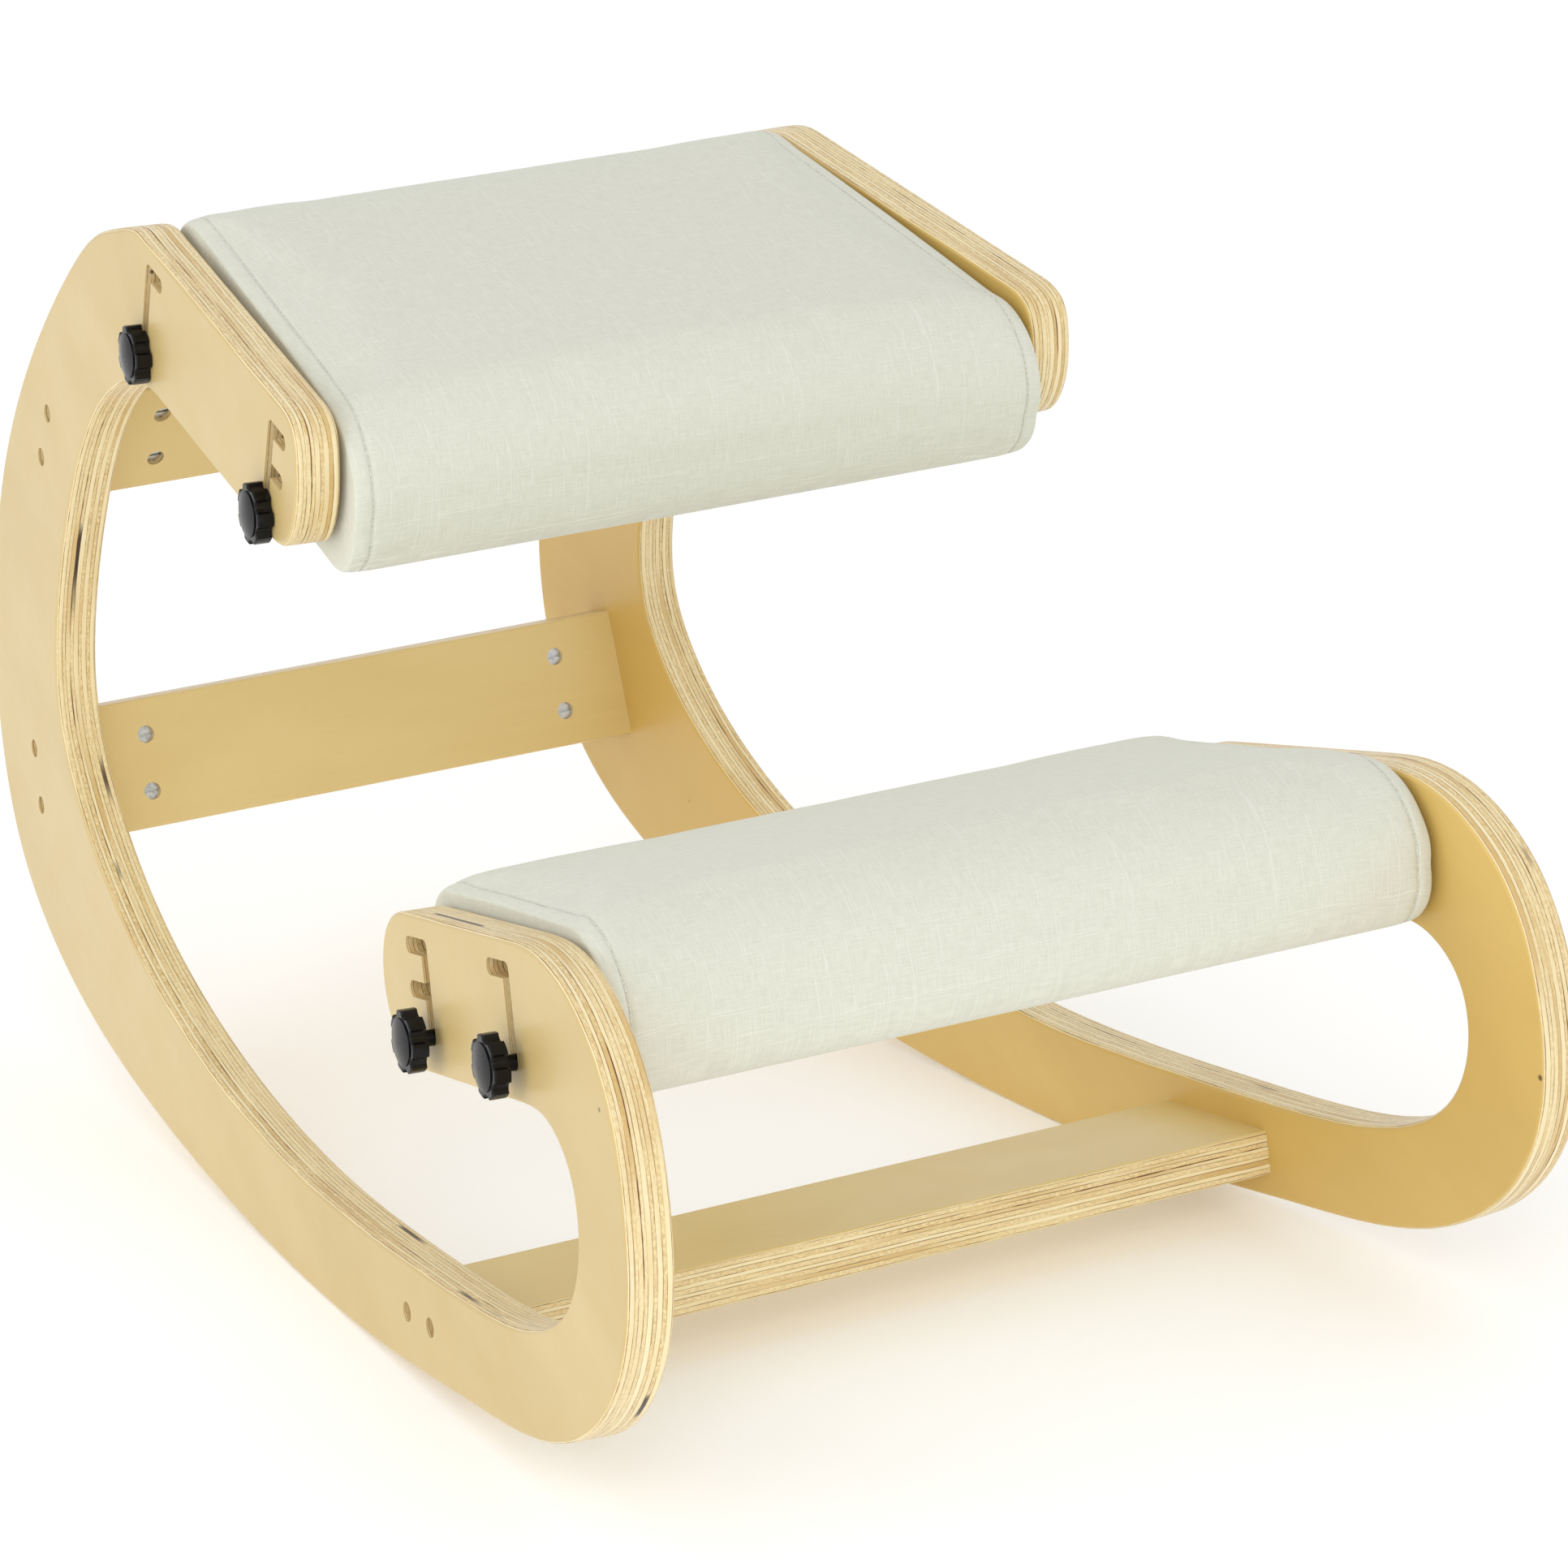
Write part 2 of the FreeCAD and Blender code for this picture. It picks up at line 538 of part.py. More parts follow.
def make_pad(pad):
    front, rear, _, nose, tail = PADS[pad]
    frame = pad_frame(pad)
    low = -size("board_below_axis")
    first = size("nose_lean") + size("nose_lower_radius") - nose
    last = pad_length(pad) + tail - size("cover_wrap") - size("pad_shoulder_depth")

    board = new_body(pad + "_board")
    outline = new_sketch(board, pad + "_board_outline", offset=low)
    corners = [(side * pad_half_width(pad, y, size("cover_wrap")), y)
               for side, y in ((-1, first), (1, first), (1, last), (-1, last))]
    for start, end in zip(corners, corners[1:] + corners[:1]):
        outline.addGeometry(line(start, end), False)
    plate = board.newObject("PartDesign::Pad", pad + "_board_plate")
    plate.Profile = outline
    plate.setExpression("Length", "Sizes.board_thickness")
    doc.recompute()

    inserts, insert_bores, stud_bores = [], [], []
    for knob in (front, rear):
        for side in (-1, 1):
            u, v = KNOBS[knob]
            along = inward(side)
            end = size("panel_thickness") + size("pad_gap") + size("cover_wrap")
            start = on_side(side, u, v, end + size("insert_sink"))
            body = rod(start, along, size("insert_diameter") / 2, size("insert_length"))
            bore = rod(start - along, along, size("stud_diameter") / 2 + size("thread_clearance"),
                       size("stud_length"))
            inserts.append(body.cut(bore))
            mouth = on_side(side, u, v, end - 1)
            insert_bores.append(rod(mouth, along, size("insert_diameter") / 2,
                                    size("insert_length") + size("insert_sink") + 1))
            stud_bores.append(rod(on_side(side, u, v, size("panel_thickness")), along,
                                  size("stud_diameter") / 2 + size("fastener_clearance"),
                                  size("stud_length")))
    to_pad = frame.inverse()

    def in_pad_frame(solids):
        tool = Part.makeCompound(solids)
        tool.transformShape(to_pad.toMatrix())
        return tool

    bores = doc.addObject("Part::Feature", pad + "_board_bores")
    bores.Shape = in_pad_frame(insert_bores + stud_bores)
    drilled = doc.addObject("Part::Cut", pad + "_board_drilled")
    drilled.Base, drilled.Tool = board, bores
    keep(pad + "_board", drilled, frame)
    board.Label = pad + "_board_solid"

    form = doc.addObject("Part::Feature", pad + "_cushion_form")
    shares = [-share for share in PAD_STATIONS] + [0.0] + PAD_STATIONS[::-1]
    form.Shape = Part.makeLoft([pad_section(pad, share) for share in shares], True, False)
    holes = doc.addObject("Part::Feature", pad + "_cushion_holes")
    holes.Shape = in_pad_frame(stud_bores)
    hollow = doc.addObject("Part::Cut", pad + "_cushion_hollow")
    hollow.Base, hollow.Tool = form, board
    cushion = doc.addObject("Part::Cut", pad + "_cushion")
    cushion.Base, cushion.Tool = hollow, holes
    keep(pad + "_cushion", cushion, frame)
    compound_piece(pad + "_threaded_inserts", inserts)


for pad_name in PADS:
    make_pad(pad_name)


# Star knobs and their studs: local z runs from the hub's foot outwards through the head
def knob_frame(knob, side):
    u, v = KNOBS[knob]
    if knob.startswith("seat"):
        stand = size("seat_knob_gap") - size("hub_length")
    else:
        stand = -size("hub_entry")
    foot = on_side(side, u, v, -stand)
    return Placement(foot, Rotation(Vector(0, 0, 1), inward(side) * -1))


def make_knob(knob, side, label):
    body = new_body(label + "_knob")
    hub, head, neck = size("hub_diameter") / 2, size("knob_diameter") / 2, size("hub_length")
    bore, bore_top = size("stud_diameter") / 2 + size("thread_clearance"), neck + size("thread_clearance")
    top = neck + size("knob_height")
    dome, dome_edge = size("knob_dome_diameter") / 2, top + size("knob_dome_edge")
    dome_top = top + size("knob_dome_height")
    ball = (dome ** 2 + (dome_top - dome_edge) ** 2) / (2 * (dome_top - dome_edge))
    bulge = dome_top - ball + math.sqrt(ball ** 2 - (dome / 2) ** 2)
    profile = new_sketch(body, label + "_profile", role="XZ_Plane")
    corners = [(0, dome_top), (0, bore_top), (bore, bore_top), (bore, 0), (hub, 0), (hub, neck), (head, neck),
               (head, top), (dome, top), (dome, dome_edge)]
    for start, end in zip(corners, corners[1:]):
        profile.addGeometry(line(start, end), False)
    cap = Part.Arc(Vector(*corners[-1], 0), Vector(dome / 2, bulge, 0), Vector(*corners[0], 0))
    profile.addGeometry(cap, False)
    turned = body.newObject("PartDesign::Revolution", label + "_turned")
    turned.Profile = profile
    turned.ReferenceAxis = (plane_of(body, "Z_Axis"), [""])
    turned.Angle = 360
    doc.recompute()
    hollow = new_sketch(body, label + "_hollow_sketch", offset=neck)
    reach = head + size("knob_notch_diameter") / 2 - size("knob_notch_bite")
    add_circle(hollow, (reach, 0), size("knob_notch_diameter") / 2)
    notch = through_cut(body, hollow, label + "_hollow")
    doc.recompute()
    ring = body.newObject("PartDesign::PolarPattern", label + "_hollows")
    ring.Originals = [notch]
    ring.Axis = (plane_of(body, "Z_Axis"), [""])
    ring.Angle = 360
    ring.Occurrences = int(size("knob_lobes"))
    body.Tip = ring
    doc.recompute()
    rim = [number for number, edge in enumerate(ring.Shape.Edges, start=1)
           if edge.BoundBox.ZLength < 0.01 and abs(edge.BoundBox.ZMin - top) < 0.01
           and math.hypot(edge.Vertexes[0].X, edge.Vertexes[0].Y) > dome + 0.1]
    rounded = body.newObject("PartDesign::Fillet", label + "_rounded")
    rounded.Base = (ring, ["Edge%d" % number for number in rim])
    rounded.setExpression("Radius", "Sizes.knob_edge_radius")
    keep(label + "_knob", body, knob_frame(knob, side))


def make_stud(knob, side, label):
    body = new_body(label + "_stud")
    stud_end = new_sketch(body, label + "_stud_sketch", offset=size("hub_length"))
    add_circle(stud_end, (0, 0), size("stud_diameter") / 2)
    shank = body.newObject("PartDesign::Pad", label + "_shank")
    shank.Profile = stud_end
    shank.setExpression("Length", "Sizes.hub_length + Sizes.stud_length")
    shank.Reversed = True
    doc.recompute()
    tip = [number for number, edge in enumerate(shank.Shape.Edges, start=1)
           if edge.BoundBox.ZMax < -size("stud_length") + 0.01]
    point = body.newObject("PartDesign::Chamfer", label + "_point")
    point.Base = (shank, ["Edge%d" % number for number in tip])
    point.setExpression("Size", "Sizes.stud_chamfer")
    keep(label + "_stud", body, knob_frame(knob, side))


for knob_name in KNOBS:
    for side_name, side_sign in (("left", -1), ("right", 1)):
        make_knob(knob_name, side_sign, knob_name + "_" + side_name)
        make_stud(knob_name, side_sign, knob_name + "_" + side_name)

doc.recompute()

# Lean the chair to its balanced attitude and put the origin on the floor under the middle of its box
sides = [piece.Shape.copy() for label, piece, frame in pieces if label.endswith("side_panel")]
box = FreeCAD.BoundBox()
for shape, side in zip(sides, (-1, 1)):
    shape.Placement = Placement(Vector(), lean).multiply(side_frame(side))
    box.add(shape.optimalBoundingBox(False, False))
rest = Placement(Vector(0, -(box.YMin + box.YMax) / 2, -box.ZMin), lean)
print("rest placement", rest.Base)
for label, piece, frame in pieces:
    piece.Placement = rest.multiply(frame)
doc.recompute()

failed = [thing.Name for thing in doc.Objects if "Invalid" in thing.State or "Error" in thing.State]
if failed:
    raise SystemExit("failed: %s" % failed)
for label, piece, frame in pieces:
    if piece.Shape.isNull() or not piece.Shape.isValid():
        raise SystemExit("bad shape: " + label)
for label, piece, frame in pieces:
    piece.Shape.exportStep("parts/%s.step" % label)
    print("%-26s solids %d volume %.0f" % (label, len(piece.Shape.Solids), piece.Shape.Volume))
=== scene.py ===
"""Looks of the rocking kneeling chair: lacquered birch plywood, slubby linen cushions, glossy black star
knobs and zinc fasteners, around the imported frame. Metres, +Z up, front at -Y."""
import json
import math
import random

import bpy
import numpy as np
from mathutils import Matrix, Vector
from mathutils.kdtree import KDTree


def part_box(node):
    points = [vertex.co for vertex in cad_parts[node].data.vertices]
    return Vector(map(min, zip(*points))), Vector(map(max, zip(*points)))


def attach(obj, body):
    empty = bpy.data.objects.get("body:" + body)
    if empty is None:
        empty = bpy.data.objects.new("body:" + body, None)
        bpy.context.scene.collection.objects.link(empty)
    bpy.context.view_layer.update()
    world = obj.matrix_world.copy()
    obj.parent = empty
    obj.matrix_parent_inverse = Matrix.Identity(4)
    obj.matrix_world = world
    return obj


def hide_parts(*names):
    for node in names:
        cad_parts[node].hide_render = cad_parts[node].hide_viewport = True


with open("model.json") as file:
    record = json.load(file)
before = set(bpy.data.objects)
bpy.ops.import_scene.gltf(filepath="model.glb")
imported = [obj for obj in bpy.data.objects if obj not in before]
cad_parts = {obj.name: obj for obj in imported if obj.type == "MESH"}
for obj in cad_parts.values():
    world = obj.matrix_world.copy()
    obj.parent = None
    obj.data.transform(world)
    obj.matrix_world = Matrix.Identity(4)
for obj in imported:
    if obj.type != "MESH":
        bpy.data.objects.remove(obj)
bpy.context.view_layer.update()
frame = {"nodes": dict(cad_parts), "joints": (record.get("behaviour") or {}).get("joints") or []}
joints = {joint["name"]: joint for joint in frame["joints"]}

# Construction sizes shared with the frame; those of the pads start from the knob axes
PANEL_THICKNESS = 0.024
BAR_THICKNESS = 0.024
BOARD_THICKNESS = 0.030
# direction of each crossbar's width seen from the side, in degrees from +Y without the chair's lean
BAR_ANGLES = {"upper": 101.0, "middle": 58.0, "lower": 155.5}
PAD_GAP = 0.003
BELOW_AXIS = 0.022
PAD_RISE = 0.0665
PAD_CROWN = 0.007
PAD_TOP_BOW = 0.001
SHOULDER_WIDTH = 0.014
SHOULDER_DEPTH = 0.0028
NOSE_BACK = 0.046
NOSE_DROP = 0.040
NOSE_CUT = 0.0155
NOSE_CUT_DROP = 0.0115
NOSE_LEAN = 0.003
NOSE_BULGE = 0.0005
NOSE_LOWER_RADIUS = 0.028
REAR_RADIUS = 0.032
REAR_LOWER_RADIUS = 0.010
# nose ahead of the front knob axis, tail behind the rear one, and the rear top's height above PAD_RISE
PAD_ENDS = {"seat": (0.067, 0.039, 0.006), "knee": (0.069, 0.070, 0.003)}
# how far the cover's ends reach past the ends of the solid that it replaces
COVER_OUT = {"seat": 0.002, "knee": 0.0007}

slide = Vector(joints["seat_height"]["axis"])
LEAN = math.atan2(-slide.y, slide.z)
outward_right = Vector(joints["seat_front_right_knob_turn"]["axis"])
SPLAY_SLOPE = math.hypot(outward_right.y, outward_right.z) / outward_right.x
UP_THE_SIDES = Vector((0, -math.sin(LEAN), math.cos(LEAN)))

# where the grain of each board starts in the noise
SIDE_SEED = 1.7
BAR_SEED = 5.1
BAR_SEED_STEP = 2.3
BOARD_SEED = 11.0


# Materials
class Look:
    """one material's node tree; a value is a number, a colour, a vector or another node's output"""

    def __init__(self, name, roughness, metallic=0.0, coat=0.0, coat_roughness=0.2, sheen=0.0):
        self.material = bpy.data.materials.new(name)
        self.material.use_nodes = True
        self.nodes = self.material.node_tree.nodes
        self.shader = self.nodes["Principled BSDF"]
        self.shader.inputs["Roughness"].default_value = roughness
        self.shader.inputs["Metallic"].default_value = metallic
        self.shader.inputs["Coat Weight"].default_value = coat
        self.shader.inputs["Coat Roughness"].default_value = coat_roughness
        self.shader.inputs["Sheen Weight"].default_value = sheen
        coordinates = self.nodes.new("ShaderNodeTexCoord")
        self.place = coordinates.outputs["Object"]
        self.normal = coordinates.outputs["Normal"]

    def feed(self, socket, value):
        if isinstance(value, bpy.types.NodeSocket):
            self.material.node_tree.links.new(value, socket)
        else:
            socket.default_value = value

    def math(self, operation, a, b=0.0, c=0.0):
        node = self.nodes.new("ShaderNodeMath")
        node.operation = operation
        for socket, value in zip(node.inputs, (a, b, c)):
            self.feed(socket, value)
        return node.outputs[0]

    def vector(self, operation, a, b):
        node = self.nodes.new("ShaderNodeVectorMath")
        node.operation = operation
        self.feed(node.inputs[0], a)
        self.feed(node.inputs[1], b)
        return node.outputs["Value"] if operation == "DOT_PRODUCT" else node.outputs["Vector"]

    def along(self, place, direction):
        """how far a place lies along a direction"""
        return self.vector("DOT_PRODUCT", place, tuple(direction))

    def join(self, x, y, z):
        node = self.nodes.new("ShaderNodeCombineXYZ")
        for socket, value in zip(node.inputs, (x, y, z)):
            self.feed(socket, value)
        return node.outputs[0]

    def noise(self, vector, scale=1.0, detail=2.0, roughness=0.5, distortion=0.0):
        """smooth noise from 0 to 1; rates in the vector, or the scale, are cycles a metre"""
        node = self.nodes.new("ShaderNodeTexNoise")
        self.feed(node.inputs["Vector"], vector)
        node.inputs["Scale"].default_value = scale
        node.inputs["Detail"].default_value = detail
        node.inputs["Roughness"].default_value = roughness
        node.inputs["Distortion"].default_value = distortion
        return node.outputs["Fac"]

    def random(self, value):
        """one steady random number for each value"""
        node = self.nodes.new("ShaderNodeTexWhiteNoise")
        node.noise_dimensions = "1D"
        self.feed(node.inputs["W"], value)
        return node.outputs["Value"]

    def cells(self, vector, scale):
        """distance to the nearest scattered point, and that point's own random number"""
        node = self.nodes.new("ShaderNodeTexVoronoi")
        self.feed(node.inputs["Vector"], vector)
        node.inputs["Scale"].default_value = scale
        split = self.nodes.new("ShaderNodeSeparateColor")
        self.feed(split.inputs[0], node.outputs["Color"])
        return node.outputs["Distance"], split.outputs[0]

    def step(self, value, low, high, start=0.0, end=1.0):
        """smooth step from start at low to end at high"""
        node = self.nodes.new("ShaderNodeMapRange")
        node.interpolation_type = "SMOOTHSTEP"
        for socket, number in zip(node.inputs, (value, low, high, start, end)):
            self.feed(socket, number)
        return node.outputs[0]

    def mix(self, factor, a, b):
        """a where the factor is 0 and b where it is 1"""
        node = self.nodes.new("ShaderNodeMix")
        node.data_type = "RGBA"
        self.feed(node.inputs["Factor"], factor)
        self.feed(node.inputs[6], a)
        self.feed(node.inputs[7], b)
        return node.outputs[2]

    def bump(self, height, distance, strength):
        node = self.nodes.new("ShaderNodeBump")
        node.inputs["Strength"].default_value = strength
        node.inputs["Distance"].default_value = distance
        self.feed(node.inputs["Height"], height)
        return node.outputs[0]

    def finish(self, colour, roughness=None, normal=None):
        self.feed(self.shader.inputs["Base Color"], colour)
        if roughness is not None:
            self.feed(self.shader.inputs["Roughness"], roughness)
        if normal is not None:
            self.feed(self.shader.inputs["Normal"], normal)
        return self.material


def shade(red, green, blue):
    """linear colour of an sRGB one given from 0 to 255"""
    def linear(value):
        return ((value / 255 + 0.055) / 1.055) ** 2.4 if value > 10 else value / 3295

    return linear(red), linear(green), linear(blue), 1.0


CREAM = shade(238, 219, 168)
CREAM_PALE = shade(243, 229, 188)
TAN = shade(202, 164, 92)
GLUE = shade(116, 72, 30)
VOID = shade(52, 28, 10)
# face veneers as deep, middle and light
OUTER_VENEER = (shade(202, 176, 114), shade(206, 181, 121), shade(211, 187, 129))
# the inner faces' veneer is a darker, more orange copy of the outer one: painted shade for the shade between
# the panels
INNER_VENEER_PAINTED_SHADE = (shade(207, 172, 92), shade(212, 178, 98), shade(217, 184, 105))
BAR_VENEER = (shade(222, 196, 130), shade(227, 202, 138), shade(231, 208, 147))
# where each ply ends, as a share of the thickness
PLY_ENDS = [0.055, 0.155, 0.235, 0.345, 0.43, 0.545, 0.625, 0.74, 0.83, 0.945]
# depth to which a face shows its veneer, and how much the plies wander
SKIN = PLY_ENDS[0] / 2
PLY_WAVER = 0.06
# widths of the glue lines, as shares of the thickness; one of the lines is darker and wider
GLUE_NARROW = 0.004
GLUE_WIDE = 0.015
DARK_GLUE = 3
DARK_GLUE_WIDE = 0.026
# possible knots in each metre, and a knot's outer and dark radius as shares of their spacing
KNOTS_A_METRE = 34.0
KNOT_RADIUS = 0.075
KNOT_CORE = 0.035


def plywood(name, face_point, normal, grain, thickness, seed, faces=(BAR_VENEER, BAR_VENEER)):
    """solid plywood: every surface shows the ply that it cuts, from the depth under one face;
    faces are the veneers at that face and at the opposite one"""
    look = Look(name, roughness=0.4, coat=0.2, coat_roughness=0.22)
    normal, grain = Vector(normal).normalized(), Vector(grain).normalized()
    across = normal.cross(grain)
    from_face = look.vector("SUBTRACT", look.place, tuple(face_point))
    depth = look.along(from_face, normal)
    a = look.along(from_face, grain)
    b = look.along(from_face, across)

    def spread(rate_a, rate_b, third):
        """noise place with its own rates along the grain and across it"""
        return look.join(look.math("MULTIPLY", a, rate_a), look.math("MULTIPLY", b, rate_b), third)

    wander = look.noise(spread(9.0, 9.0, seed), 1.0, 3.0)
    drift = look.math("MULTIPLY_ADD", wander, PLY_WAVER, -PLY_WAVER / 2)
    share = look.math("ADD", look.math("DIVIDE", depth, thickness), drift)
    index, glue = 0.0, 0.0
    for number, end in enumerate(PLY_ENDS):
        wide, strong = (DARK_GLUE_WIDE, 1.0) if number == DARK_GLUE else (GLUE_WIDE, 0.75)
        index = look.math("ADD", index, look.math("GREATER_THAN", share, end))
        from_line = look.math("ABSOLUTE", look.math("SUBTRACT", share, end))
        swell = look.noise(spread(30.0, 30.0, seed + number * 3.1), 1.0, 3.0, 0.6)
        half = look.step(swell, 0.3, 0.75, GLUE_NARROW, wide)
        strength = look.step(swell, 0.25, 0.6, 0.3, strong)
        line = look.math("MULTIPLY", look.step(look.math("DIVIDE", from_line, half), 1.0, 0.5), strength)
        glue = look.math("MAXIMUM", glue, line)
    parity = look.math("MODULO", index, 2.0)

    # plies cross, so an edge shows end grain on every second one
    end_of_grain = look.math("ABSOLUTE", look.along(look.normal, grain))
    end_of_cross = look.math("ABSOLUTE", look.along(look.normal, across))
    shift = look.math("SUBTRACT", end_of_cross, end_of_grain)
    endness = look.step(look.math("MULTIPLY_ADD", parity, shift, end_of_grain), 0.25, 0.95)

    through = look.math("MULTIPLY", depth, 900.0)
    streaks = look.noise(spread(26.0, 26.0, through), 1.0, 3.0, 0.6)
    pores = look.noise(spread(420.0, 420.0, through), 1.0, 2.0, 0.6)
    tone = look.random(look.math("ADD", index, seed * 7.3))
    patch = look.noise(spread(7.0, 7.0, look.math("MULTIPLY", index, 5.3)), 1.0, 2.0)

    pale = look.mix(look.step(streaks, 0.3, 0.72), CREAM, CREAM_PALE)
    dark = look.mix(look.step(pores, 0.3, 0.75), TAN, CREAM)
    dull = look.math("MULTIPLY_ADD", endness, 0.5, look.math("MULTIPLY", look.step(tone, 0.3, 1.0), 0.35))
    wood = look.mix(dull, pale, dark)
    wood = look.mix(look.step(patch, 0.52, 0.72, 0.0, 0.7), wood, TAN)
    wood = look.mix(glue, wood, GLUE)

    gap = look.step(look.noise(spread(8.0, 8.0, look.math("MULTIPLY", index, 3.7)), 1.0, 1.0), 0.665, 0.70)
    past_second = look.math("GREATER_THAN", index, 1.5)
    before_last = look.math("LESS_THAN", index, len(PLY_ENDS) - 1.5)
    inner_ply = look.math("MULTIPLY", past_second, before_last)
    gap = look.math("MULTIPLY", gap, look.math("MULTIPLY", inner_ply, look.math("SUBTRACT", 1.0, parity)))
    wood = look.mix(gap, wood, VOID)

    fibre = look.noise(spread(5.0, 170.0, seed), 1.0, 4.0, 0.65)
    cloud = look.noise(spread(2.4, 7.0, seed), 1.0, 3.0, 0.55, 0.6)
    dashes = look.noise(spread(120.0, 1500.0, seed), 1.0, 1.0)
    sheets = []
    for deep, plain, light in faces:
        veneer = look.mix(look.step(cloud, 0.3, 0.7), deep, light)
        veneer = look.mix(look.step(fibre, 0.35, 0.7, 0.0, 0.3), veneer, plain)
        sheets.append(look.mix(look.step(dashes, 0.62, 0.8, 0.0, 0.14), veneer, TAN))
    low_skin = look.math("LESS_THAN", share, SKIN)
    high_skin = look.math("GREATER_THAN", share, 1 - SKIN)
    skin = look.math("MAXIMUM", low_skin, high_skin)
    wood = look.mix(skin, wood, look.mix(high_skin, *sheets))

    distance, pick = look.cells(look.vector("ADD", look.place, (seed, seed * 0.31, 0.0)), KNOTS_A_METRE)
    knot = look.step(distance, KNOT_RADIUS, KNOT_CORE)
    knot = look.math("MULTIPLY", knot, look.math("GREATER_THAN", pick, 0.9))
    wood = look.mix(look.math("MULTIPLY", knot, 0.85), wood, VOID)

    bare = look.math("SUBTRACT", 1.0, skin)
    relief = look.math("MULTIPLY_ADD", streaks, bare, look.math("MULTIPLY", fibre, 0.5))
    relief = look.math("SUBTRACT", relief, look.math("MULTIPLY", gap, 3.0))
    rough = look.step(streaks, 0.2, 0.8, 0.34, 0.46)
    return look.finish(wood, rough, look.bump(relief, 0.0001, 0.5))


LINEN = shade(221, 222, 208)
LINEN_SHADE = shade(210, 211, 196)
LINEN_SLUB = shade(242, 242, 234)
SLUB_WIDTH = 0.0007
WEAVE_PITCH = 0.00062
# a surface that faces sideways more than this belongs to a pad's end
END_FACE = 0.62


def linen(name, pad):
    """slubby plain weave; one thread direction runs round the pad, the other along it"""
    look = Look(name, roughness=0.92, sheen=0.2)
    origin, back, up = pad["origin"], pad["back"], pad["up"]
    local = look.vector("SUBTRACT", look.place, tuple(origin))
    x = look.along(local, (1, 0, 0))
    y = look.along(local, back)
    z = look.along(local, up)
    from_middle = look.math("SUBTRACT", y, (pad["last"] + pad["first"]) / 2)
    round_pad = look.math("SUBTRACT", z, look.math("ABSOLUTE", from_middle))
    is_end = look.math("GREATER_THAN", look.math("ABSOLUTE", look.along(look.normal, (1, 0, 0))), END_FACE)
    a = look.math("MULTIPLY_ADD", is_end, look.math("SUBTRACT", y, x), x)
    b = look.math("MULTIPLY_ADD", is_end, look.math("SUBTRACT", z, round_pad), round_pad)
    side = look.math("MULTIPLY_ADD", is_end, 5.0, look.math("SIGN", from_middle))

    def threads(rate_a, rate_b):
        place = look.join(look.math("MULTIPLY", a, rate_a), look.math("MULTIPLY", b, rate_b), side)
        return look.noise(place, 1.0, 2.0, 0.6)

    warp = threads(1500.0, 90.0)
    weft = threads(90.0, 1500.0)
    bands = look.math("MULTIPLY", look.math("ADD", threads(300.0, 9.0), threads(9.0, 300.0)), 0.5)

    def slubs(across, lengthwise, few, layer):
        """thin pale lines: some threads, each thick along stretches of its length"""
        count = look.math("DIVIDE", across, SLUB_WIDTH)
        thread = look.math("ADD", look.math("FLOOR", count), layer)
        chosen = look.math("GREATER_THAN", look.random(thread), few)
        run = look.join(look.math("MULTIPLY", thread, 7.7), look.math("MULTIPLY", lengthwise, 28.0), side)
        stretch = look.noise(run, 1.0, 1.0)
        round_line = look.step(look.math("PINGPONG", count, 0.5), 0.0, 0.3)
        shown = look.math("MULTIPLY", look.math("MULTIPLY", chosen, round_line), look.step(stretch, 0.5, 0.6))
        return look.math("MULTIPLY", shown, look.math("SUBTRACT", 1.0, is_end))

    slub_round = slubs(a, b, 0.89, 0.0)
    slub_along = look.math("MULTIPLY", slubs(b, a, 0.92, 400.0), 0.8)
    slub = look.math("MAXIMUM", slub_round, slub_along)

    ridge_a = look.math("ABSOLUTE", look.math("SINE", look.math("MULTIPLY", a, math.pi / WEAVE_PITCH)))
    ridge_b = look.math("ABSOLUTE", look.math("SINE", look.math("MULTIPLY", b, math.pi / WEAVE_PITCH)))
    over = look.math("ADD", look.math("FLOOR", look.math("DIVIDE", a, WEAVE_PITCH)),
                     look.math("FLOOR", look.math("DIVIDE", b, WEAVE_PITCH)))
    over = look.math("MODULO", look.math("ABSOLUTE", over), 2.0)
    weave = look.math("MULTIPLY_ADD", over, look.math("SUBTRACT", ridge_a, ridge_b), ridge_b)

    thread_mix = look.math("MULTIPLY", look.math("ADD", warp, weft), 0.5)
    cloth = look.mix(look.step(thread_mix, 0.36, 0.64), LINEN_SHADE, LINEN)
    cloth = look.mix(look.step(bands, 0.38, 0.62, 0.0, 0.12), cloth, LINEN_SHADE)
    cloth = look.mix(look.math("MULTIPLY", slub, 0.45), cloth, LINEN_SLUB)

    relief = look.math("MULTIPLY_ADD", weave, 0.35, thread_mix)
    relief = look.math("MULTIPLY_ADD", slub, 1.4, relief)
    return look.finish(cloth, None, look.bump(relief, 0.0002, 0.5))


def seam_cloth(name):
    look = Look(name, roughness=0.9, sheen=0.2)
    twist = look.noise(look.place, 900.0, 2.0)
    colour = look.mix(look.step(twist, 0.3, 0.7), shade(186, 187, 174), shade(222, 223, 212))
    return look.finish(colour, None, look.bump(twist, 0.0002, 0.6))


def plastic(name):
    look = Look(name, roughness=0.22)
    look.shader.inputs["Specular IOR Level"].default_value = 0.22
    grain = look.noise(look.place, 700.0, 3.0, 0.6)
    wave = look.noise(look.place, 60.0, 2.0)
    rough = look.step(wave, 0.3, 0.7, 0.17, 0.27)
    colour = look.mix(look.step(grain, 0.3, 0.7), shade(9, 9, 10), shade(14, 14, 15))
    return look.finish(colour, rough, look.bump(look.math("MULTIPLY_ADD", wave, 2.0, grain), 0.00003, 0.3))


